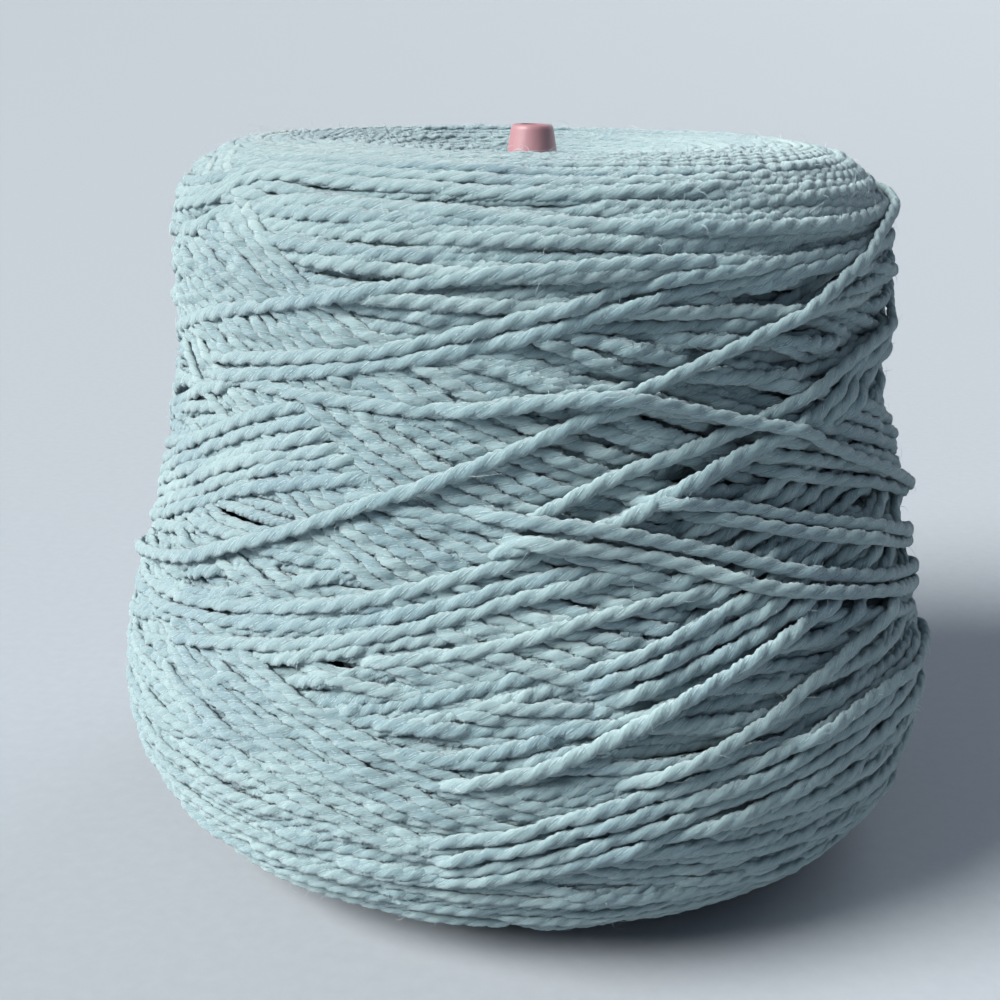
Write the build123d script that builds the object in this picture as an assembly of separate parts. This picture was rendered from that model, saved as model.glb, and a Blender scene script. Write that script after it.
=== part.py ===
from build123d import *
import math
import os

# A cross-wound cone of knitting yarn standing on the large end of its tapered core.
# Millimetres, +Z up. The origin is on the floor, on the axis of the core.

# ---- core: a thin-walled plastic cone, open at both ends ----
core_length = 170.0          # base rim to nose, the usual length of a knitting cone
core_half_angle = 9.25       # half of the cone's angle in degrees (9 degrees 15 minutes)
nose_d = 9.8                 # outside, at the nose
core_wall = 1.8              # measured square to the axis
nose_bore_d = 6.0            # straight hole through the nose
nose_bore_length = 10.0
nose_rounding = 1.1
bead_height = 3.0            # bead round the base rim
bead_reach = 1.2             # how far the bead stands out of the cone
bead_rounding = 0.9

# ---- grooves round the core that grip the first layer of yarn ----
groove_count = 12
groove_first_z = 14.0
groove_pitch = 11.5
groove_width = 1.2
groove_depth = 0.3

# ---- wound yarn ----
bore_clearance = 0.05        # radial gap between the core and the yarn's bore
foot_gap = 2.0               # foot above the floor; the core's rim carries the cone
foot_d = 116.0               # ring on which the underside is lowest
underside_dish = 4.0         # the underside rises this much from the foot to the core
belly_d = 202.0              # widest place
belly_height = 38.0          # belly above the foot
low_fullness = 0.68          # how square the rounding under the belly is; a circle is 0.55
shoulder_d = 170.4           # where the flank turns over into the top
shoulder_drop = 25.2         # shoulder below the crown
shoulder_flare = 0.11        # outward slope of the flank at the shoulder, above a slight waist
flank_low_reach = 0.21       # how far the belly's upright direction carries up the flank
flank_high_reach = 0.42      # how far the shoulder's direction carries down the flank
crown_d = 125.6              # ring on which the top is highest
high_fullness = 0.54         # how square the rounding over the shoulder is
nose_above_crown = 2.8
top_dish = 8.0               # the top falls this much from the crown to the core
dish_reach = 0.4             # where the slope of either dish sets in, as a share of its width

taper = math.tan(math.radians(core_half_angle))
foot_z = foot_gap
belly_z = foot_z + belly_height
crown_z = core_length - nose_above_crown
shoulder_z = crown_z - shoulder_drop


def core_radius(z):
    """Outer radius of the bare cone at height z."""
    return nose_d / 2 + (core_length - z) * taper


def between(a, b, share):
    """The point a share of the way from a to b."""
    return (a[0] + (b[0] - a[0]) * share, a[1] + (b[1] - a[1]) * share)


def revolved(outline):
    """A solid of revolution about Z from a closed outline of (radius, height) curves."""
    with BuildPart() as part:
        with BuildSketch(Plane.XZ):
            with BuildLine():
                for edge in outline:
                    add(edge)
            make_face()
        revolve(axis=Axis.Z)
    return part.part


def make_core():
    """The tapered tube with its nose bore, rounded nose and base bead."""
    bore_r = nose_bore_d / 2
    bore_foot_z = core_length - nose_bore_length
    inner_base_r = core_radius(0) - core_wall
    inner_top_z = bore_foot_z - core_wall
    inner_top_r = core_radius(inner_top_z) - core_wall
    bead_r = core_radius(0) + bead_reach
    rounding = min(nose_rounding, (nose_d - nose_bore_d) / 2 * 0.6)
    nose_corner = (core_radius(core_length), core_length)
    nose_side = (core_radius(core_length - rounding), core_length - rounding)
    nose_top = (nose_corner[0] - rounding, core_length)
    bead_top = (core_radius(bead_height), bead_height)
    outline = [
        Line((inner_base_r, 0), (bead_r - bead_rounding, 0)),
        Bezier((bead_r - bead_rounding, 0), (bead_r, 0), (bead_r, bead_rounding)),
        Line((bead_r, bead_rounding), (bead_r, bead_height - bead_rounding)),
        Bezier((bead_r, bead_height - bead_rounding), (bead_r, bead_height), bead_top),
        Line(bead_top, nose_side),
        Bezier(nose_side, nose_corner, nose_top),
        Line(nose_top, (bore_r, core_length)),
        Line((bore_r, core_length), (bore_r, bore_foot_z)),
        Line((bore_r, bore_foot_z), (inner_top_r, inner_top_z)),
        Line((inner_top_r, inner_top_z), (inner_base_r, 0)),
    ]
    core = revolved(outline)
    for i in range(groove_count):
        core -= groove_ring(groove_first_z + i * groove_pitch)
    return core


def groove_ring(z):
    """The ring that cuts one shallow groove round the cone at height z."""
    low, high = z - groove_width / 2, z + groove_width / 2
    corners = [
        (core_radius(low) + groove_depth, low),
        (core_radius(high) + groove_depth, high),
        (core_radius(high) - groove_depth, high),
        (core_radius(low) - groove_depth, low),
    ]
    return revolved([Line(a, b) for a, b in zip(corners, corners[1:] + corners[:1])])


def make_yarn():
    """The wound yarn as one closed solid with a tapered bore for the core."""
    under_z = foot_z + underside_dish
    top_z = crown_z - top_dish
    bore_low = (core_radius(under_z) + bore_clearance, under_z)
    bore_high = (core_radius(top_z) + bore_clearance, top_z)
    foot = (foot_d / 2, foot_z)
    belly = (belly_d / 2, belly_z)
    shoulder = (shoulder_d / 2, shoulder_z)
    crown = (crown_d / 2, crown_z)
    flank = shoulder_z - belly_z
    shoulder_corner = (shoulder[0] + shoulder_flare * shoulder_drop, crown_z)
    flank_low = (belly[0], belly_z + flank_low_reach * flank)
    flank_high = (shoulder[0] - shoulder_flare * flank_high_reach * flank,
                  shoulder_z - flank_high_reach * flank)
    outline = [
        Bezier(bore_low, between((bore_low[0], foot_z), foot, dish_reach), foot),
        Bezier(foot, between(foot, (belly[0], foot_z), low_fullness),
               between(belly, (belly[0], foot_z), low_fullness), belly),
        Bezier(belly, flank_low, flank_high, shoulder),
        Bezier(shoulder, between(shoulder, shoulder_corner, high_fullness),
               between(crown, shoulder_corner, high_fullness), crown),
        Bezier(crown, between((bore_high[0], crown_z), crown, dish_reach), bore_high),
        Line(bore_high, bore_low),
    ]
    return revolved(outline)


pieces = {
    "cone_core": make_core(),
    "wound_yarn": make_yarn(),
}

os.makedirs("parts", exist_ok=True)
for name, solid in pieces.items():
    solid.label = name
    export_step(solid, f"parts/{name}.step")
    print(name, round(solid.volume), "mm3")
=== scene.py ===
import math

import bpy
import numpy as np
from mathutils import Matrix, Vector


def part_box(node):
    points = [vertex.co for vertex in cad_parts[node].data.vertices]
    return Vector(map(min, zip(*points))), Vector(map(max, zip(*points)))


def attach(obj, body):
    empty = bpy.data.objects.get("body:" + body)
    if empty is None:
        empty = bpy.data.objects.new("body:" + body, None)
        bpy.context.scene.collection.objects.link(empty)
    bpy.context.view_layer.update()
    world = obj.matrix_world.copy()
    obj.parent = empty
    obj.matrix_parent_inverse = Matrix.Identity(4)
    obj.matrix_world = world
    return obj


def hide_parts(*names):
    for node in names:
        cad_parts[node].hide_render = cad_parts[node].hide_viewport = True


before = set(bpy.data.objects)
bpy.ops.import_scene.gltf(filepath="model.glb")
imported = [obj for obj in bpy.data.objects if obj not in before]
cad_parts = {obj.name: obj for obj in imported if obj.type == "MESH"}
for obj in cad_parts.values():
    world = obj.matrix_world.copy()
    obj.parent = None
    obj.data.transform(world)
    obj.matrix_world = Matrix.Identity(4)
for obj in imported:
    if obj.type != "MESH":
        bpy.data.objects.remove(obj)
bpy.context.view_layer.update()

# The yarn is wound here strand by strand. A strand's path is its azimuth (0 in front, growing to the right)
# and its distance u up the package's outline. Every strand is laid over what already lies under it, as a
# height map of the surface says, and the strands that can be seen become tubes of two twisted plies.

MM = 0.001
TURN = 2 * math.pi
deg = math.radians
rng = np.random.default_rng(41)

# ------------------------------------------------------------------ sizes, in mm unless they say otherwise
STRAND_R = 1.68          # radius of the two-ply strand at its fullest
PLY_PITCH = 12.2         # one full turn of the two plies of a strand drawn tight
SLACK_PITCH = 9.6        # the same of a strand that lies slack
SIDES = 8                # points round a strand
RING_STEP = 0.84         # spacing of a strand's rings
SIM_STEP = 0.42          # spacing of the points that a strand is laid with
BED_DEPTH = 5.4          # the first strands lie this far under the outline
BED_PITCH = 2.7          # spacing of the first strands' turns, and of those in the bore
BED_STEP = 1.7           # spacing of the rings of those strands
BED_SIDES = 6            # points round one of them
CELL = 0.5               # cell of the height map along the outline
N_AZ = 1200              # cells of the height map round the package
NOSE_R = 4.9             # radius of the core's tube at its top
BORE_SLOPE = math.tan(deg(9.25))  # how fast the core widens downwards
BORE_GAP = 0.05          # between the core and the yarn
BORE_CLEAR = 0.4         # points nearer to the bore than this belong to its wall
BORE_ENDS = (6.0, 159.2)          # heights in the bore where the outline starts and ends
FOOT = (58, 2)           # radius and height of the place where u is 0, at the edge of the foot
MIDDLE = (50, 85)        # a place inside the yarn, round which the outline's points are put in order
UNEVEN = 0.032           # how far a strand's surface strays, as a share of its radius
TAPER = 6.0              # a strand's last points, over which it thins out
BURIED = 2.4             # a strand this far under the lowest place near it is never seen
BURIED_PRESSED = 2.0     # the same once the winding is pressed flat
SPREAD = 17              # points built round each point that can be seen
RUN_POINTS = 16          # runs of no more points than this are left out
PIECE_FACES = 98000      # the most faces in one piece
FUZZ_COUNT = 5200        # loose fibres tried
FUZZ_RUN = 60            # they stand on runs of more points than this
FUZZ_DEPTH = -3.0        # and not on what lies deeper than this
FIBRE_LENGTHS = (1.5, 4.5)
FIBRE_R = 0.05           # radius of a fibre at its root
LINING_R = 1.3           # radius of the strand that lines the bore
LINING_ENDS = (7.5, 158.0)        # heights where it starts and ends


# ------------------------------------------------------------------ outline of the package, from its CAD body
def bore_radius(z):
    return NOSE_R + (core_top - z) * BORE_SLOPE + BORE_GAP


def smoothed(values, kernel):
    return np.convolve(np.pad(values, len(kernel) // 2, mode="edge"), kernel, mode="valid")


def yarn_outline():
    """The body's outline from the bore's foot round to its top, as (radius, height) in order."""
    verts = np.array([v.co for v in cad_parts["wound_yarn"].data.vertices]) / MM
    radius, z = np.hypot(verts[:, 0], verts[:, 1]), verts[:, 2]
    outer = radius > bore_radius(z) + BORE_CLEAR
    ring = np.unique(np.round(np.stack([radius, z], 1)[outer], 2), axis=0)
    turn = np.arctan2(ring[:, 1] - MIDDLE[1], ring[:, 0] - MIDDLE[0])
    turn = np.where(turn < -2.0, turn + TURN, turn)
    low, high = BORE_ENDS
    return np.vstack([(bore_radius(low), low), ring[np.argsort(turn)], (bore_radius(high), high)])


core_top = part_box("cone_core")[1][2] / MM
ring = yarn_outline()
run = np.concatenate([[0], np.cumsum(np.hypot(*np.diff(ring, axis=0).T))])
U = np.arange(0, run[-1], CELL)
round_off = np.hanning(15)
round_off /= round_off.sum()
prof = np.stack([smoothed(np.interp(U, run, ring[:, i]), round_off) for i in (0, 1)], 1)
U = U - run[np.argmin(np.hypot(*(ring - FOOT).T))]
U_LOW, U_HIGH = U[0], U[-1]
tang = np.gradient(prof, axis=0)
tang /= np.linalg.norm(tang, axis=1)[:, None]
norm = np.stack([tang[:, 1], -tang[:, 0]], 1)


def at_u(table, u):
    return np.interp(u, U, table)


def radius_at(u):
    return np.maximum(at_u(prof[:, 0], u), 3.0)


def place(az, u, h):
    """Points at azimuth az in radians, distance u up the outline and h above it, and the normals there."""
    nr, nz = at_u(norm[:, 0], u), at_u(norm[:, 1], u)
    r = at_u(prof[:, 0], u) + h * nr
    z = at_u(prof[:, 1], u) + h * nz
    p = np.stack([r * np.sin(az), -r * np.cos(az), z], 1)
    n = np.stack([nr * np.sin(az), -nr * np.cos(az), nz], 1)
    return p, n


# ------------------------------------------------------------------ laying strands
strands = []
height = np.full((N_AZ, len(U)), -BED_DEPTH, np.float32)
ACROSS = np.array([-0.85, -0.5, 0.0, 0.5, 0.85])       # places across a strand where it touches the map
ARCH = 0.90 * np.sqrt(1 - (ACROSS / 1.15) ** 2)        # height of a strand's back over its axis there


def cell_of(az, u):
    """Indices of the height map's cell at azimuth az and distance u up the outline."""
    i = np.round(az / TURN * N_AZ).astype(int) % N_AZ
    j = np.clip(np.round((u - U_LOW) / CELL).astype(int), 0, len(U) - 1)
    return i, j


def cells_under(az, u):
    """Indices of the cells under a strand: a row for each of its points, with a place for each of ACROSS."""
    r = radius_at(u)
    dx = np.gradient(az) * r
    dy = np.gradient(u)
    length = np.maximum(np.hypot(dx, dy), 1e-6)
    return cell_of(az[:, None] - (dy / length / r)[:, None] * ACROSS,
                   u[:, None] + (dx / length)[:, None] * ACROSS)


def resample(az, u, step):
    r = radius_at(u)
    mid = 0.5 * (r[1:] + r[:-1])
    s = np.concatenate([[0], np.cumsum(np.hypot(np.diff(az) * mid, np.diff(u)))])
    n = max(int(s[-1] / step), 8)
    t = np.linspace(0, s[-1], n)
    return np.interp(t, s, az), np.interp(t, s, u), t


def bridge(s, h, bend):
    """The lowest line over h that never curves upwards more than bend: a strand drawn over its bed."""
    g = h - 0.5 * bend * s * s
    keep = [0]
    for k in range(1, len(s)):
        while len(keep) > 1:
            a, b = keep[-2], keep[-1]
            if (g[b] - g[a]) * (s[k] - s[a]) <= (g[k] - g[a]) * (s[b] - s[a]):
                keep.pop()
            else:
                break
        keep.append(k)
    return np.interp(s, s[keep], g[keep]) + 0.5 * bend * s * s


def wander(n, step, size, wave):
    """A smooth random line: n points step apart, of that size, whose bends are about wave long."""
    m = max(int(n * step / wave) + 4, 5)
    knots = rng.normal(0, size, m)
    t = np.linspace(0, m - 3.001, n)
    k = t.astype(int)
    f = t - k
    p0, p1, p2, p3 = knots[k], knots[k + 1], knots[k + 2], knots[np.minimum(k + 3, m - 1)]
    return ((-f ** 3 + 3 * f * f - 3 * f + 1) * p0 + (3 * f ** 3 - 6 * f * f + 4) * p1
            + (-3 * f ** 3 + 3 * f * f + 3 * f + 1) * p2 + f ** 3 * p3) / 6


def lay(az, u, stray=0.5, bend=1 / 9, dive=(6.0, 6.0), reach=13.0, sides=SIDES, step=RING_STEP, lift=0.0,
        pitch=SLACK_PITCH):
    """Lays one strand over what is there. Its ends sink by dive, each over its last reach mm."""
    az, u, s = resample(np.asarray(az, float), np.asarray(u, float), SIM_STEP)
    n = len(s)
    u = np.clip(u + wander(n, SIM_STEP, stray * 1.6, 22), U_LOW + 1.5, U_HIGH - 1.5)
    az = az + wander(n, SIM_STEP, stray, 30) / radius_at(u)
    i, j = cells_under(az, u)
    line = bridge(s, (height[i, j] + ARCH).max(1) + lift, bend)
    line = smoothed(line, np.ones(9) / 9)
    sink = (dive[0] * np.clip(1 - s / reach, 0, 1) ** 1.5
            + dive[1] * np.clip(1 - (s[-1] - s) / reach, 0, 1) ** 1.5)
    np.maximum.at(height, (i, j), ((line - sink)[:, None] + ARCH * 0.95).astype(np.float32))
    strands.append(dict(az=az, u=u, h=line, sink=sink, s=s, sides=sides, step=step, pitch=pitch,
                        thick=rng.uniform(0.94, 1.06), tone=rng.normal(0, 1), turn=rng.uniform(0, TURN),
                        slub=wander(n, SIM_STEP, 0.07, 16)))


def blurred(field, na, nu):
    """The mean of field over 2 na cells round the package and 2 nu cells up the outline."""
    out = np.cumsum(np.concatenate([field[-na:], field, field[:na]]), 0, dtype=np.float64)
    out = (out[2 * na:] - out[:-2 * na])[:len(field)] / (2 * na)
    pad = np.cumsum(np.pad(out, ((0, 0), (nu, nu)), mode="edge"), 1)
    return (pad[:, 2 * nu:] - pad[:, :-2 * nu])[:, :field.shape[1]] / (2 * nu)


def level(drop=1.3):
    """Brings the winding's skin to drop under the outline, lower on the end, and all under it along."""
    skin = (blurred(height, 14, 10) + drop + 2.1 * np.clip((U - 186) / 20, 0, 1)
            + 2.0 * np.clip((U - 212) / 26, 0, 1))
    for q in strands:
        q["h"] = q["h"] - skin[cell_of(q["az"], q["u"])]
    height[...] -= skin.astype(np.float32)


def hollow(az, u):
    """How high the winding already stands along a path: low where a strand is still missing."""
    h = height[cell_of(az, u)]
    return h.mean() + 0.25 * h.std()


# ------------------------------------------------------------------ ways of winding
def bed():
    """One close low helix over the whole surface, seen only through the gaps, in twelve lengths."""
    lengths, points = 12, 12000
    climb = U_HIGH - U_LOW - 8
    u = U_LOW + 2.5 + climb * np.linspace(0, 1, points)
    az = np.cumsum(np.full(points, climb / points / BED_PITCH)) * TURN
    each = points // lengths
    for k in range(lengths):
        part = slice(k * each, (k + 1) * each + 1)
        lay(az[part], u[part], stray=0.25, dive=(0, 0), sides=BED_SIDES, step=BED_STEP)


def stroke(az0, u0, u1, way, rise, ease):
    """A traverse from u0 to u1: it starts at az0, runs round in direction way and climbs rise mm a degree."""
    span = abs(u1 - u0) * (1 + ease) / rise
    t = np.linspace(0, 1, 160)
    return az0 + way * deg(span) * t, u0 + (u1 - u0) * (t - ease * np.sin(TURN * t) / TURN)


def crossing(groups, bottoms, tops, tries=14):
    """Traverses over the side, laid in groups whose strands lie next to each other."""
    for group in range(groups):
        way = 1 if group % 2 else -1
        count = int(rng.integers(3, 6))
        rise, ease = rng.uniform(0.50, 0.66), rng.uniform(0.55, 0.85)
        bottom, top = rng.uniform(*bottoms), rng.uniform(*tops)
        gap = rng.uniform(4.8, 6.4)
        starts = rng.uniform(0, TURN, tries)
        middle = [stroke(a + deg(gap) * count / 2, bottom, top, way, rise, ease) for a in starts]
        start = starts[int(np.argmin([hollow(*m) for m in middle]))]
        for k in range(count):
            low, high = bottom + rng.normal(0, 2), top + rng.normal(0, 2)
            lay(*stroke(start + deg(gap) * k, low, high, way, rise, ease), stray=0.45)


def hoops(number, u_low, u_high, slope, spans, stray=0.6, tries=16):
    """Low strands round the package between two heights, each laid where one is missing most."""
    t = np.linspace(0, 1, 120)
    for k in range(number):
        found = []
        for trial in range(tries):
            span = rng.uniform(*spans)
            u = rng.uniform(u_low, u_high) + rng.normal(0, slope) * span * (t - 0.5)
            az = rng.uniform(0, TURN) + deg(span) * t
            found.append((hollow(az, u), az, u))
        lay(*min(found, key=lambda f: f[0])[1:], stray=stray)


def full_ring(u):
    start = rng.uniform(0, TURN)
    lay(np.linspace(start, start + TURN + 0.4, 160), np.full(160, u), stray=0.12, dive=(2.0, 2.0))


def route(points, stray=0.25, pitch=PLY_PITCH, **more):
    """A strand along a list of points, each (azimuth in degrees, mm up the outline)."""
    p = np.array(points, float)
    p = np.vstack([2 * p[0] - p[1], p, 2 * p[-1] - p[-2]])
    curve = []
    f = np.linspace(0, 1, 24, endpoint=False)[:, None]
    for k in range(1, len(p) - 2):
        curve.append(0.5 * (2 * p[k] + (p[k + 1] - p[k - 1]) * f
                            + (2 * p[k - 1] - 5 * p[k] + 4 * p[k + 1] - p[k + 2]) * f ** 2
                            + (3 * p[k] - p[k - 1] - 3 * p[k + 1] + p[k + 2]) * f ** 3))
    curve = np.vstack(curve + [p[-2:-1]])
    lay(np.radians(curve[:, 0]), curve[:, 1], stray=stray, pitch=pitch, **more)


def family(points, numbers, **more):
    """Strands side by side. A point is (azimuth, mm up, and how much both grow from strand to strand)."""
    for k in numbers:
        route([(az + d_az * k, u + d_u * k) for az, u, d_az, d_u in points], **more)


# ------------------------------------------------------------------ winding the package
bed()
crossing(11, (16, 62), (172, 214))
hoops(24, -20, 74, 0.03, (170, 330))
hoops(24, 172, U_HIGH - 6, 0.026, (170, 330))
level()
crossing(11, (34, 76), (172, 196))
level()
crossing(9, (40, 78), (168, 190))
level()
hoops(56, -20, 78, 0.022, (170, 330), stray=0.35)
hoops(46, 176, U_HIGH - 6, 0.020, (150, 300), stray=0.35)
hoops(110, 60, 180, 0.30, (50, 110))
level()
hoops(64, 168, 220, 0.018, (120, 260), stray=0.25)
hoops(26, -10, 70, 0.022, (120, 260), stray=0.3)
for from_nose in (8.8, 6.5, 4.2, 1.9):
    full_ring(U_HIGH - from_nose)
level()

# the strands of the front that stand out, in the order they were wound: the points of their routes are
# listed, and some of them were worked out from where those strands are seen from the front
FALLING = [(-78, 190, 0, -3.4), (-60, 178, 0, -3.4), (-44, 167, 0, -3.4), (-30, 153, 0, -3.4),
           (-12, 138, 0, -3.4), (5, 127, 0, -3.3), (25, 119, 0, -3.2)]
family(FALLING, range(3, 10), stray=0.35, pitch=SLACK_PITCH)
family([(-120, 96, 0, -3), (-95, 110, 0, -3), (-60, 130.5, 0, -3), (-42, 141.5, 0, -3), (-29, 148, 2, -2.6)],
       range(6), dive=(6.0, 3.0), reach=8.0)
family(FALLING, range(-5, 3), stray=0.35, pitch=SLACK_PITCH)
family([(-60, 102, 0, -3.6), (-35, 92, 0, -3.6), (-12, 79, 0, -3.4), (8, 69, 0, -3.2), (35, 61, 0, -3)],
       range(7), stray=0.35, pitch=SLACK_PITCH)
for points in (
        [(-130, 118), (-95, 124), (-60, 142), (-50, 146), (-45, 148.5), (-20, 148.5), (-10, 149), (0, 151),
         (10, 153), (20, 154)],
        [(-120, 84), (-80, 92), (-45, 100), (-25, 107), (-10, 114.7), (0, 119.7), (5, 122.5), (10, 122)],
        [(-120, 80), (-80, 88), (-45, 96.5), (-25, 103.5), (-10, 111), (0, 116), (10, 117.5), (25, 110),
         (40, 101.5), (60, 95), (90, 86)],
        [(-60, 86), (-40, 94), (-25, 99.5), (-10, 107.5), (0, 112.5), (15, 118), (30, 124), (45, 132),
         (60, 139), (80, 148)],
        [(-30, 132), (-5, 126), (5, 121.4), (15.5, 116.5), (22, 112.7), (40, 103), (60, 94), (90, 80)],
        [(-80, 150), (-50, 162), (-30, 168), (-20, 171), (-10, 174), (0, 176), (20, 177), (50, 174),
         (80, 168)],
        [(-60, 150), (-22, 159), (0, 167), (15, 173), (25, 175), (50, 178), (80, 180)],
        [(-60, 146), (-22, 156), (0, 163.5), (15, 169.5), (30, 173), (60, 177), (80, 178)],
        [(-25, 96), (-3, 103), (5, 107), (13, 110), (30, 113), (60, 118)]):
    route(points)
# low strands over the crease at the shoulder's edge
family([(-150, 190, 0, 2), (-100, 180, 0, 3), (-60, 184, 0, 3), (-45, 193, 0, 3), (-20, 194, 0, 3),
        (10, 193, 0, 2.6), (50, 196, 0, 2)], range(3))
route([(-100, 172), (-60, 178), (-52, 183), (-45, 186.5), (-30, 188), (-15, 188), (-5, 187), (5, 185.5),
       (30, 184), (60, 183)])
level()


# ------------------------------------------------------------------ pressing the winding flat
def restamp():
    """Writes the height map again from the strands as they lie now."""
    height[...] = -BED_DEPTH
    for q in strands:
        np.maximum.at(height, cells_under(q["az"], q["u"]), (q["h"][:, None] + ARCH).astype(np.float32))


def lowest_near():
    """The lowest the winding stands within a strand's reach of each cell."""
    cover = height.copy()
    for shift in range(1, 6):
        cover = np.minimum(cover, np.minimum(np.roll(height, shift, 0), np.roll(height, -shift, 0)))
    lowest = cover.copy()
    for shift in range(1, 6):
        lowest[:, shift:] = np.minimum(lowest[:, shift:], cover[:, :-shift])
        lowest[:, :-shift] = np.minimum(lowest[:, :-shift], cover[:, shift:])
    return lowest


def above(q, lowest, depth):
    """Whether each point of a strand stands less than depth under the lowest place near it."""
    return q["h"] > lowest[cell_of(q["az"], q["u"])] - depth


def bump(az, centre, width):
    """1 at a centre azimuth, falling off over width, both in degrees."""
    return np.exp(-(np.angle(np.exp(1j * (az - deg(centre)))) / deg(width)) ** 2)


def calm(az, u):
    """How far the winding is pressed flat: fully on the shoulder, hardly where it lies loose at the right."""
    rest = 0.74 * (1 - 0.85 * bump(az, 40, 36) * np.clip((u - 90) / 16, 0, 1))
    return rest + (1 - rest) * np.clip((u - 172) / 14, 0, 1)


# the crease under the shoulder, from its left end to its right one: azimuth in degrees, mm up the outline
CREASE = np.array([(-96, 166), (-76, 173), (-52, 184.5), (-30, 191.5), (-14, 190.5), (4, 188.5), (14, 185)])
CREASE_DEPTH, CREASE_WIDTH, CREASE_FADE = 2.1, 1.7, 8
FLANK_DEPTH, FLANK_U, FLANK_HALF = 2.6, 130, 17
SKIN = -0.8              # strands that stand higher than this are pressed down towards it


def press(q):
    """A strand's heights pressed flat, lowered in the right flank's hollow and the crease, with sunk ends."""
    az, u, h = q["az"], q["u"], q["h"]
    flat = calm(az, u)
    # what stands high comes down towards the skin, and what lies low comes up towards the ground
    h = np.where(h > SKIN, SKIN + (h - SKIN) * (0.62 - 0.52 * flat), h)
    ground = -2.4 + 1.2 * flat
    h = np.where(h < ground, ground + (h - ground) * (0.5 - 0.42 * flat), h)
    h = h - FLANK_DEPTH * bump(az, 40, 24) * np.exp(-((u - FLANK_U) / FLANK_HALF) ** 2)
    front = np.degrees(np.angle(np.exp(1j * az)))
    within = (np.clip((front - CREASE[0, 0]) / CREASE_FADE, 0, 1)
              * np.clip((CREASE[-1, 0] - front) / CREASE_FADE, 0, 1))
    off_crease = u - np.interp(front, *CREASE.T)
    return h - CREASE_DEPTH * within * np.exp(-(off_crease / CREASE_WIDTH) ** 2) - q["sink"]


lowest = lowest_near()
for q in strands:
    q["seen"] = above(q, lowest, BURIED)
    q["h"] = press(q)
restamp()

# ------------------------------------------------------------------ the last strands, over the pressed ones
last_ones = len(strands)
# short rising ones, in the hollow of the right flank and under it
family([(17, 121.5, 9, -3.9), (31, 129.2, 9, -3.9), (41, 133.7, 9, -3.9), (62, 142, 9, -3.9)], range(-1, 5))
family([(15, 112, 5, -3.3), (29, 119.5, 5, -3.3), (45, 128, 5, -3.3)], range(6))
family([(2, 96, 2, -3.3), (17, 103, 2, -3.3), (29, 110, 2, -3.3), (44, 118, 2, -3.3)], range(4))
family([(-14, 60, 0, -3.4), (-1, 65.7, 0, -3.4), (13.5, 72.2, 0, -3.4), (29, 76.2, 0, -3.4),
        (48, 81, 0, -3.4), (75, 84, 0, -3.4)], range(4))
family([(30, 154, 0, -3.6), (44, 149, 0, -3.6), (56, 144, 0, -3.6), (67, 138, 0, -3.6), (85, 128, 0, -3.6)],
       range(6))
family([(36, 138.6, 4, -0.5), (41, 143, 4, -0.4), (48, 148, 4.5, -0.4), (56, 153, 5, -0.5),
        (75, 161, 5, -1.5)], range(3))
# taut ones, which lie free over the others
for points in (
        [(30, 77), (43, 80), (54.5, 81), (69, 79.5), (90, 74)],
        [(8, 74), (20, 79), (30.5, 84.7), (37, 89), (45, 92.7), (52.5, 96), (65, 101)],
        [(-12, 73), (-3, 77), (2, 79), (7, 82.5), (12, 86.5), (18.5, 91.5), (25, 95.5), (33, 100), (42, 105)],
        [(-90, 92), (-55, 106), (-44, 113), (-30, 122), (-20, 129), (-12, 134), (0, 142.5), (8, 148),
         (14, 150.3), (20, 152)],
        [(-6, 123), (1, 128.7), (11.5, 136.7), (20.5, 140.7), (26.5, 143.2), (32, 145), (40, 149),
         (50, 153.5), (57, 156), (80, 162), (110, 170)],
        [(-8, 119), (0, 123), (11.5, 127.2), (18, 132.2), (26.5, 137.7), (34, 141), (45, 146)],
        [(4, 148), (15, 153.6), (25, 159.3), (32, 163.6), (42, 169.6), (52, 175.4), (62, 180), (80, 184),
         (110, 186)],
        [(-12, 130.5), (0, 128.5), (8.5, 127), (17.5, 123.4), (26.5, 119.2), (37, 113.4), (50.5, 107.4),
         (63, 102), (85, 93)],
        [(-6, 125), (2, 124), (9, 122.6), (17.5, 120), (26.5, 114.9), (31, 112), (42.5, 106.9),
         (59.5, 99.9), (85, 89)],
        [(12, 132), (22, 130.2), (29.5, 128.2), (41, 123.2), (52, 117.8), (70.5, 108.4), (90, 99)],
        [(18, 128.5), (27, 126.2), (37.5, 121.6), (52, 115.2), (70, 106), (90, 96)],
        [(-16, 148.7), (-8, 149.2), (0, 151), (10, 152.3), (17.5, 150.4), (27, 146.6), (38.5, 142),
         (45.5, 136.8), (61, 127), (78.5, 115), (100, 100)]):
    route(points, bend=1 / 70, lift=0.35, stray=0.12)
for q in strands[last_ones:]:
    q["h"] = q["h"] - q["sink"]
    q["seen"] = np.ones(len(q["h"]), bool)
restamp()


def runs_shown():
    """The runs of strands that are built: what lies buried everywhere round it can't be seen."""
    lowest = lowest_near()
    runs = []
    for q in strands:
        seen = q["seen"] & above(q, lowest, BURIED_PRESSED)
        near = np.convolve(seen, np.ones(SPREAD), mode="same") > 0.5
        edges = np.flatnonzero(np.diff(np.concatenate([[0], near.astype(int), [0]])))
        runs += [dict(q, first=a, last=b) for a, b in zip(edges[::2], edges[1::2]) if b - a > RUN_POINTS]
    return runs


# ------------------------------------------------------------------ meshes
# share of a strand's radius, from the groove between its plies (0) to a ply's back (1)
PLY_SHAPE = np.array([(0, 0.68), (0.5, 0.85), (0.71, 0.94), (0.87, 0.99), (1, 1.0)])


def unit(vectors):
    return vectors / np.linalg.norm(vectors, axis=1)[:, None]


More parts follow.
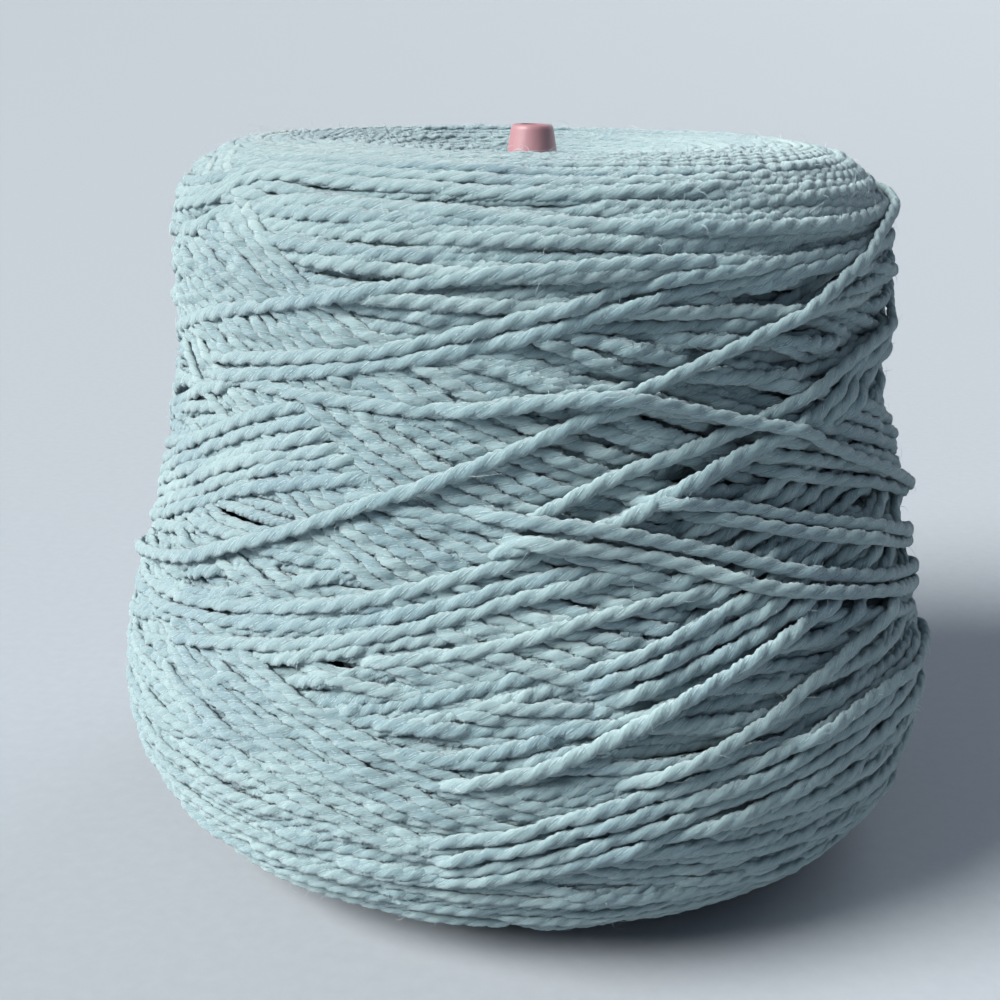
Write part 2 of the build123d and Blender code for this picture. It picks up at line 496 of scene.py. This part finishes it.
def sweep(p, n, t, radii, angles, flat):
    """Rings of points round the path p, which runs along t with n across it, pressed by flat along n."""
    b = np.cross(n, t)
    return (p[:, None] + (radii * np.cos(angles) * flat)[..., None] * n[:, None]
            + (radii * np.sin(angles))[..., None] * b[:, None])


def strand_co(along, ply, theta):
    """The strand's own coordinates at its rings' points: mm along it, then across its two plies."""
    shape = (len(along), len(theta))
    axes = (along[:, None], ply * np.cos(theta), ply * np.sin(theta))
    return np.stack([np.broadcast_to(axis, shape) for axis in axes], 2)


def tube(q):
    """Rings of one strand, two plies turning about each other, with the values that its material reads."""
    stride = max(int(round(q["step"] / SIM_STEP)), 1)
    pick = np.arange(q["first"], q["last"], stride)
    az, u, h, s = (q[key][pick] for key in ("az", "u", "h", "s"))
    p, n = place(az, u, h)
    p[:, 2] = np.maximum(p[:, 2], STRAND_R)
    t = unit(np.gradient(p, axis=0))
    n = unit(n - (n * t).sum(1)[:, None] * t)
    theta = np.arange(q["sides"]) * TURN / q["sides"]
    ply = np.interp(np.abs(np.cos(theta)), *PLY_SHAPE.T)
    size = STRAND_R * q["thick"] * (1 + q["slub"][pick])
    to_end = np.minimum(pick, len(q["s"]) - 1 - pick)
    size = size * np.clip(to_end / TAPER, 0.02, 1)
    radii = size[:, None] * ply[None] * (1 + rng.normal(0, UNEVEN, (len(s), len(theta))))
    angles = theta[None] + (q["turn"] + TURN * s / q["pitch"])[:, None]
    rings = sweep(p, n, t, radii, angles, 0.84 - 0.26 * calm(az, u)[:, None])
    local = strand_co(s + q["turn"] * 37.0, ply, theta)
    return rings, local, np.full(radii.shape, q["tone"]), np.broadcast_to(h[:, None], radii.shape)


def mesh_of(name, tubes):
    """One mesh of many tubes, with a bake map laid out in rows and the material's values as attributes."""
    k = tubes[0][0].shape[1]
    total = sum(q[0].shape[0] - 1 for q in tubes)
    columns = max(int(math.sqrt(total * (k + 1) * 0.62)), 4)
    rows = (total // columns + 1) * (k + 1)
    faces, uvs = [], []
    base, done = 0, 0
    for rings in (q[0].shape[0] for q in tubes):
        i, j = np.meshgrid(np.arange(rings - 1), np.arange(k), indexing="ij")
        here, after, beside = base + i * k, base + (i + 1) * k, (j + 1) % k
        faces.append(np.stack([here + j, after + j, after + beside, here + beside], -1).reshape(-1, 4))
        cell = done + i
        u0 = (cell % columns) / columns
        u1 = u0 + 1 / columns
        v0 = ((cell // columns) * (k + 1) + j) / rows
        v1 = v0 + 1 / rows
        corners = [np.stack(corner, -1) for corner in ((u0, v0), (u1, v0), (u1, v1), (u0, v1))]
        uvs.append(np.stack(corners, -2).reshape(-1, 2))
        base += rings * k
        done += rings - 1
    co = np.concatenate([q[0].reshape(-1, 3) for q in tubes]) * MM
    faces = np.concatenate(faces)
    mesh = bpy.data.meshes.new(name)
    mesh.vertices.add(len(co))
    mesh.vertices.foreach_set("co", co.astype(np.float32).ravel())
    mesh.loops.add(faces.size)
    mesh.loops.foreach_set("vertex_index", faces.astype(np.int32).ravel())
    mesh.polygons.add(len(faces))
    mesh.polygons.foreach_set("loop_start", np.arange(0, faces.size, 4, dtype=np.int32))
    mesh.polygons.foreach_set("use_smooth", np.ones(len(faces), bool))
    layer = mesh.uv_layers.new(name="OFBake")
    layer.data.foreach_set("uv", np.concatenate(uvs).astype(np.float32).ravel())
    for part, label, kind, field in ((1, "strand_co", "FLOAT_VECTOR", "vector"),
                                     (2, "tone", "FLOAT", "value"), (3, "depth", "FLOAT", "value")):
        values = np.concatenate([q[part].ravel() for q in tubes]).astype(np.float32)
        mesh.attributes.new(label, kind, "POINT").data.foreach_set(field, values)
    mesh.update(calc_edges=True)
    obj = bpy.data.objects.new(name, mesh)
    bpy.context.scene.collection.objects.link(obj)
    return obj


def yarn_layers(shown):
    """The strands' meshes, each of at most PIECE_FACES faces, in the order the strands were wound."""
    pieces, batch, faces, sides = [], [], 0, None
    for q in shown:
        made = tube(q)
        count = (made[0].shape[0] - 1) * q["sides"]
        if batch and (faces + count > PIECE_FACES or sides != q["sides"]):
            pieces.append(mesh_of(f"yarn_layer_{len(pieces):02d}", batch))
            batch, faces = [], 0
        sides = q["sides"]
        batch.append(made)
        faces += count
    return pieces + [mesh_of(f"yarn_layer_{len(pieces):02d}", batch)]


def fibre(q, spot, length):
    """One loose fibre that stands off strand q at its point spot and curls back: a three-sided tube."""
    p, n = place(q["az"][spot:spot + 2], q["u"][spot:spot + 2], q["h"][spot:spot + 2])
    along = (p[1] - p[0]) / max(np.linalg.norm(p[1] - p[0]), 1e-6)
    aside = np.cross(n[0], along)
    lean = rng.normal(0, 1, 3)
    side = rng.uniform(-1, 1)
    root = p[0] + n[0] * 1.15 * math.sqrt(1 - side * side * 0.8) + aside * 1.3 * side
    out = n[0] * 0.8 + aside * side * 0.9 + along * lean[0] * 0.9
    out /= np.linalg.norm(out)
    curl = along * lean[1] * 0.6 + aside * lean[2] * 0.6 - n[0] * 0.55
    span = np.linspace(0, 1, 5)
    line = root + length * (out * span[:, None] + curl * (span ** 2)[:, None] * 0.8)
    line[:, 2] = np.maximum(line[:, 2], 0.2)
    away = np.cross(out, curl)
    away /= max(np.linalg.norm(away), 1e-6)
    other = np.cross(out, away)
    around = (np.arange(3) * TURN / 3)[None, :, None]
    size = FIBRE_R * (1 - 0.55 * span)
    rings = line[:, None] + size[:, None, None] * (np.cos(around) * away + np.sin(around) * other)
    return rings, np.zeros((5, 3, 3)), np.zeros((5, 3)), np.zeros((5, 3))


def yarn_fuzz(shown):
    """Loose fibres standing off the long runs that don't lie deep."""
    long_runs = [q for q in shown if q["last"] - q["first"] > FUZZ_RUN]
    fibres = []
    for k in range(FUZZ_COUNT):
        q = long_runs[int(rng.integers(len(long_runs)))]
        spot = int(rng.integers(q["first"] + 8, q["last"] - 8))
        length = rng.uniform(*FIBRE_LENGTHS)
        if q["h"][spot] >= FUZZ_DEPTH:
            fibres.append(fibre(q, spot, length))
    return mesh_of("yarn_fuzz", fibres)


def bore_lining():
    """The bore's wall: a close helix of one strand against the core."""
    low, high = LINING_ENDS
    z = low + (high - low) * np.linspace(0, 1, 14000)
    turned = TURN * (z - low) / BED_PITCH
    r = bore_radius(z) + 0.12 + LINING_R
    p = np.stack([r * np.sin(turned), -r * np.cos(turned), z], 1)
    run = np.concatenate([[0], np.cumsum(np.linalg.norm(np.diff(p, axis=0), axis=1))])
    s = np.arange(0, run[-1], BED_STEP)
    p = np.stack([np.interp(s, run, p[:, i]) for i in range(3)], 1)
    az = np.interp(s, run, turned)
    n = -np.stack([np.sin(az), -np.cos(az), 0 * az], 1)
    theta = np.arange(BED_SIDES) * TURN / BED_SIDES
    ply = 0.80 + 0.20 * np.abs(np.cos(theta))
    angles = theta[None] + (TURN * s / PLY_PITCH)[:, None]
    rings = sweep(p, n, unit(np.gradient(p, axis=0)), LINING_R * ply, angles, 0.9)
    local = strand_co(s, ply, theta)
    return mesh_of("yarn_bore_lining", [(rings, local, np.zeros(angles.shape), np.full(angles.shape, -2.0))])


# ------------------------------------------------------------------ materials
class Nodes:
    """A material with a Principled BSDF, and short ways to add and link its nodes."""

    def __init__(self, name):
        self.mat = bpy.data.materials.new(name)
        self.mat.use_nodes = True
        self.tree = self.mat.node_tree
        self.bsdf = self.tree.nodes["Principled BSDF"]

    def link(self, a, b):
        self.tree.links.new(a, b)

    def feed(self, socket, value):
        if isinstance(value, (int, float)):
            socket.default_value = value
        elif isinstance(value, tuple):
            socket.default_value = (*value, 1.0)
        else:
            self.link(value, socket)

    def math(self, op, a, b=None, clamp=False):
        n = self.tree.nodes.new("ShaderNodeMath")
        n.operation = op
        n.use_clamp = clamp
        self.feed(n.inputs[0], a)
        if b is not None:
            self.feed(n.inputs[1], b)
        return n.outputs[0]

    def centred(self, noise, gain):
        """A noise of 0 to 1 as one about 0, of that gain."""
        return self.math("MULTIPLY", self.math("SUBTRACT", noise, 0.5), gain)

    def ramp(self, value, low, high, to_low=0.0, to_high=1.0):
        n = self.tree.nodes.new("ShaderNodeMapRange")
        n.interpolation_type = "SMOOTHSTEP"
        self.link(value, n.inputs["Value"])
        for key, v in (("From Min", low), ("From Max", high), ("To Min", to_low), ("To Max", to_high)):
            n.inputs[key].default_value = v
        return n.outputs["Result"]

    def mix(self, factor, a, b):
        """The colour between a and b; sockets 6, 7 and output 2 are the node's colour ones."""
        n = self.tree.nodes.new("ShaderNodeMix")
        n.data_type = "RGBA"
        self.feed(n.inputs[0], factor)
        self.feed(n.inputs[6], a)
        self.feed(n.inputs[7], b)
        return n.outputs[2]

    def attribute(self, name, out="Vector"):
        n = self.tree.nodes.new("ShaderNodeAttribute")
        n.attribute_name = name
        return n.outputs[out]

    def object_co(self):
        return self.tree.nodes.new("ShaderNodeTexCoord").outputs["Object"]

    def noise(self, vector, scale, detail=3.0, rough=0.55, stretch=(1, 1, 1)):
        m = self.tree.nodes.new("ShaderNodeMapping")
        m.inputs["Scale"].default_value = stretch
        self.link(vector, m.inputs["Vector"])
        n = self.tree.nodes.new("ShaderNodeTexNoise")
        n.inputs["Scale"].default_value = scale
        n.inputs["Detail"].default_value = detail
        n.inputs["Roughness"].default_value = rough
        self.link(m.outputs[0], n.inputs["Vector"])
        return n.outputs["Fac"]

    def relief(self, height, strength, distance):
        n = self.tree.nodes.new("ShaderNodeBump")
        n.inputs["Strength"].default_value = strength
        n.inputs["Distance"].default_value = distance
        self.link(height, n.inputs["Height"])
        self.link(n.outputs[0], self.bsdf.inputs["Normal"])


def srgb(r, g, b):
    """A colour of 0 to 255 as the linear one that a shader takes."""
    return tuple(c / 255 / 12.92 if c / 255 <= 0.04045 else ((c / 255 + 0.055) / 1.055) ** 2.4
                 for c in (r, g, b))


def yarn_material():
    m = Nodes("cotton_yarn")
    where = m.attribute("strand_co")
    axis = m.tree.nodes.new("ShaderNodeSeparateXYZ")
    m.link(where, axis.inputs[0])
    across = m.math("ABSOLUTE", axis.outputs["Y"])
    space = m.object_co()
    # lighter and darker strands, lengths and patches
    batch = m.noise(space, 11.0, detail=3)
    patch = m.noise(space, 26.0, detail=2)
    clump = m.noise(where, 1.0, detail=2, stretch=(0.16, 0.9, 0.9))
    light = m.math("MULTIPLY", m.attribute("tone", "Fac"), 0.13)
    light = m.math("ADD", light, m.centred(batch, 1.2))
    light = m.math("ADD", light, m.centred(clump, 0.9))
    light = m.math("ADD", light, 0.5, clamp=True)
    body = m.mix(light, srgb(120, 150, 160), srgb(158, 182, 184))
    body = m.mix(m.ramp(patch, 0.52, 0.72, 0.0, 0.5), body, srgb(104, 134, 150))
    # fibres along the strand, painted shade in the groove between the plies, and a pale thread on each ply
    fibre = m.noise(where, 3.2, detail=5, rough=0.62, stretch=(0.17, 1.9, 1.9))
    body = m.mix(m.ramp(fibre, 0.38, 0.72, 0.0, 0.6), body, srgb(178, 197, 199))
    body = m.mix(m.ramp(fibre, 0.42, 0.22, 0.0, 0.35), body, srgb(102, 130, 138))
    # painted shade: the colour darkens towards the groove between the plies, where shade falls
    body = m.mix(m.ramp(across, 0.0, 0.55, 0.3, 0.0), body, srgb(84, 114, 124))
    band = m.math("MULTIPLY", m.ramp(across, 0.10, 0.15), m.ramp(across, 0.27, 0.21))
    ragged = m.noise(where, 2.0, detail=2, stretch=(0.45, 0.8, 0.8))
    thread = m.math("MULTIPLY", band, m.ramp(ragged, 0.46, 0.56))
    body = m.mix(m.math("MULTIPLY", thread, 0.6), body, srgb(200, 215, 219))
    # painted shade: darker the deeper a strand lies, standing in for the shade down between the strands
    body = m.mix(m.ramp(m.attribute("depth", "Fac"), -2.0, -4.5, 0.0, 0.5), body, srgb(62, 90, 104))
    m.link(body, m.bsdf.inputs["Base Color"])
    m.bsdf.inputs["Roughness"].default_value = 0.95
    m.bsdf.inputs["Diffuse Roughness"].default_value = 1.0
    m.bsdf.inputs["Specular IOR Level"].default_value = 0.08
    m.bsdf.inputs["Sheen Weight"].default_value = 0.35
    m.bsdf.inputs["Sheen Roughness"].default_value = 0.5
    hair = m.noise(where, 6.5, detail=4, rough=0.7, stretch=(0.35, 2.6, 2.6))
    tuft = m.noise(where, 1.7, detail=3, stretch=(0.5, 1.2, 1.2))
    height = m.math("ADD", m.math("MULTIPLY", fibre, 1.2), m.math("MULTIPLY", thread, 0.5))
    height = m.math("ADD", height, m.math("MULTIPLY", hair, 0.45))
    height = m.math("ADD", height, m.math("MULTIPLY", tuft, 0.5))
    m.relief(height, 0.7, 0.0005)
    return m.mat


def fuzz_material():
    m = Nodes("cotton_fuzz")
    vary = m.noise(m.object_co(), 160.0, detail=2)
    body = m.mix(m.ramp(vary, 0.3, 0.7), srgb(150, 174, 180), srgb(204, 220, 222))
    m.link(body, m.bsdf.inputs["Base Color"])
    m.bsdf.inputs["Roughness"].default_value = 0.9
    m.bsdf.inputs["Specular IOR Level"].default_value = 0.1
    return m.mat


def plastic_material():
    m = Nodes("pink_plastic")
    space = m.object_co()
    cloud = m.noise(space, 38.0, detail=4)
    grain = m.noise(space, 1400.0, detail=3)
    scuff = m.noise(space, 90.0, detail=6, rough=0.7, stretch=(1, 1, 0.16))
    body = m.mix(m.ramp(cloud, 0.3, 0.7), srgb(146, 107, 113), srgb(160, 120, 126))
    body = m.mix(m.ramp(scuff, 0.60, 0.74, 0.0, 0.45), body, srgb(198, 152, 156))
    m.link(body, m.bsdf.inputs["Base Color"])
    m.link(m.ramp(scuff, 0.3, 0.75, 0.38, 0.60), m.bsdf.inputs["Roughness"])
    m.bsdf.inputs["Subsurface Weight"].default_value = 0.12
    m.bsdf.inputs["Subsurface Radius"].default_value = (0.004, 0.002, 0.002)
    m.bsdf.inputs["Subsurface Scale"].default_value = 1.0
    m.relief(m.math("ADD", m.math("MULTIPLY", grain, 0.25), m.math("MULTIPLY", scuff, 0.6)), 0.25, 0.0002)
    return m.mat


def floor_material():
    m = Nodes("pale_floor")
    fleck = m.noise(m.object_co(), 260.0, detail=3)
    m.link(m.mix(fleck, srgb(149, 155, 162), srgb(157, 163, 169)), m.bsdf.inputs["Base Color"])
    m.bsdf.inputs["Roughness"].default_value = 0.9
    return m.mat


# ------------------------------------------------------------------ the pieces
shown = runs_shown()
layers = yarn_layers(shown)
fuzz = yarn_fuzz(shown)
cotton = yarn_material()
layers.append(bore_lining())
for piece in layers:
    piece.data.materials.append(cotton)
fuzz.data.materials.append(fuzz_material())
for piece in layers + [fuzz]:
    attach(piece, "yarn_package")
    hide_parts("wound_yarn")

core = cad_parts["cone_core"]
core.data.materials.clear()
core.data.materials.append(plastic_material())


# ------------------------------------------------------------------ floor, light, camera, all in metres
def bowl():
    """The floor: flat under the package, rising slowly all round and steeply far away, as one open bowl."""
    radii = [0.5 * k for k in range(1, 19)]
    spokes = 96
    verts = [(r * math.cos(TURN * k / spokes), r * math.sin(TURN * k / spokes),
              0.015 * max(r - 1.5, 0) ** 2 + 0.11 * max(r - 7, 0) ** 2) for r in radii for k in range(spokes)]
    faces = []
    for i in range(len(radii) - 1):
        inner, outer = i * spokes, (i + 1) * spokes
        for k in range(spokes):
            beside = (k + 1) % spokes
            faces.append((inner + k, inner + beside, outer + beside, outer + k))
    faces += [(len(verts), (k + 1) % spokes, k) for k in range(spokes)]
    mesh = bpy.data.meshes.new("floor")
    mesh.from_pydata(verts + [(0, 0, 0)], [], faces)
    mesh.polygons.foreach_set("use_smooth", np.ones(len(mesh.polygons), bool))
    mesh.materials.append(floor_material())
    floor = bpy.data.objects.new("floor", mesh)
    bpy.context.scene.collection.objects.link(floor)


def sky():
    """A weak blue sky that lights the scene, and a pale backdrop that only the camera sees."""
    world = bpy.data.worlds.new("studio")
    bpy.context.scene.world = world
    world.use_nodes = True
    nodes, link = world.node_tree.nodes, world.node_tree.links.new
    light = nodes["Background"]
    light.inputs["Color"].default_value = (*srgb(196, 212, 238), 1)
    light.inputs["Strength"].default_value = 0.23
    backdrop = nodes.new("ShaderNodeBackground")
    backdrop.inputs["Color"].default_value = (*srgb(192, 200, 208), 1)
    choice = nodes.new("ShaderNodeMixShader")
    link(nodes.new("ShaderNodeLightPath").outputs["Is Camera Ray"], choice.inputs[0])
    link(light.outputs[0], choice.inputs[1])
    link(backdrop.outputs[0], choice.inputs[2])
    link(choice.outputs[0], nodes["World Output"].inputs["Surface"])


def lamp(name, kind, az, el, size, power, colour):
    """A lamp aimed at the package's middle from 1.5 m off, at azimuth az and elevation el in degrees."""
    data = bpy.data.lights.new(name, kind)
    data.energy = power
    data.color = colour
    if kind == "SUN":
        data.angle = deg(size)
    else:
        data.shape = "DISK"
        data.size = size
    obj = bpy.data.objects.new(name, data)
    a, e = deg(az), deg(el)
    middle = Vector((0, 0, 0.09))
    obj.location = Vector((math.sin(a) * math.cos(e), -math.cos(a) * math.cos(e), math.sin(e))) * 1.5 + middle
    obj.rotation_euler = (middle - obj.location).to_track_quat("-Z", "Y").to_euler()
    bpy.context.scene.collection.objects.link(obj)


def shoot(reach, elevation, aim_height, tilt, pan, roll, lens):
    """The camera in front, reach from the axis's point at aim_height, with its look's angles in degrees."""
    tilt, pan, roll, elevation = (deg(angle) for angle in (tilt, pan, roll, elevation))
    forward = Vector((math.sin(pan) * math.cos(tilt), math.cos(pan) * math.cos(tilt), -math.sin(tilt)))
    right = Vector((math.cos(pan), -math.sin(pan), 0))
    up = right.cross(forward)
    right, up = math.cos(roll) * right + math.sin(roll) * up, math.cos(roll) * up - math.sin(roll) * right
    eye = Vector((0, -reach * math.cos(elevation), aim_height + reach * math.sin(elevation)))
    data = bpy.data.cameras.new("camera")
    data.lens = lens
    data.sensor_width = 36
    camera = bpy.data.objects.new("camera", data)
    camera.matrix_world = Matrix.Translation(eye) @ Matrix((right, up, -forward)).transposed().to_4x4()
    bpy.context.scene.collection.objects.link(camera)
    bpy.context.scene.camera = camera


bowl()
sky()
lamp("key", "SUN", -66, 35, 32, 7.7, (1.0, 0.985, 0.95))
lamp("fill", "AREA", -40, 34, 1.4, 2.0, (0.88, 0.94, 1.0))
lamp("side", "SUN", 140, 26, 50, 1.5, (0.90, 0.95, 1.0))
shoot(reach=0.3636, elevation=15.91, aim_height=0.085, tilt=17.17, pan=-1.041, roll=0.871, lens=51.43)
bpy.context.scene.view_settings.view_transform = "Standard"
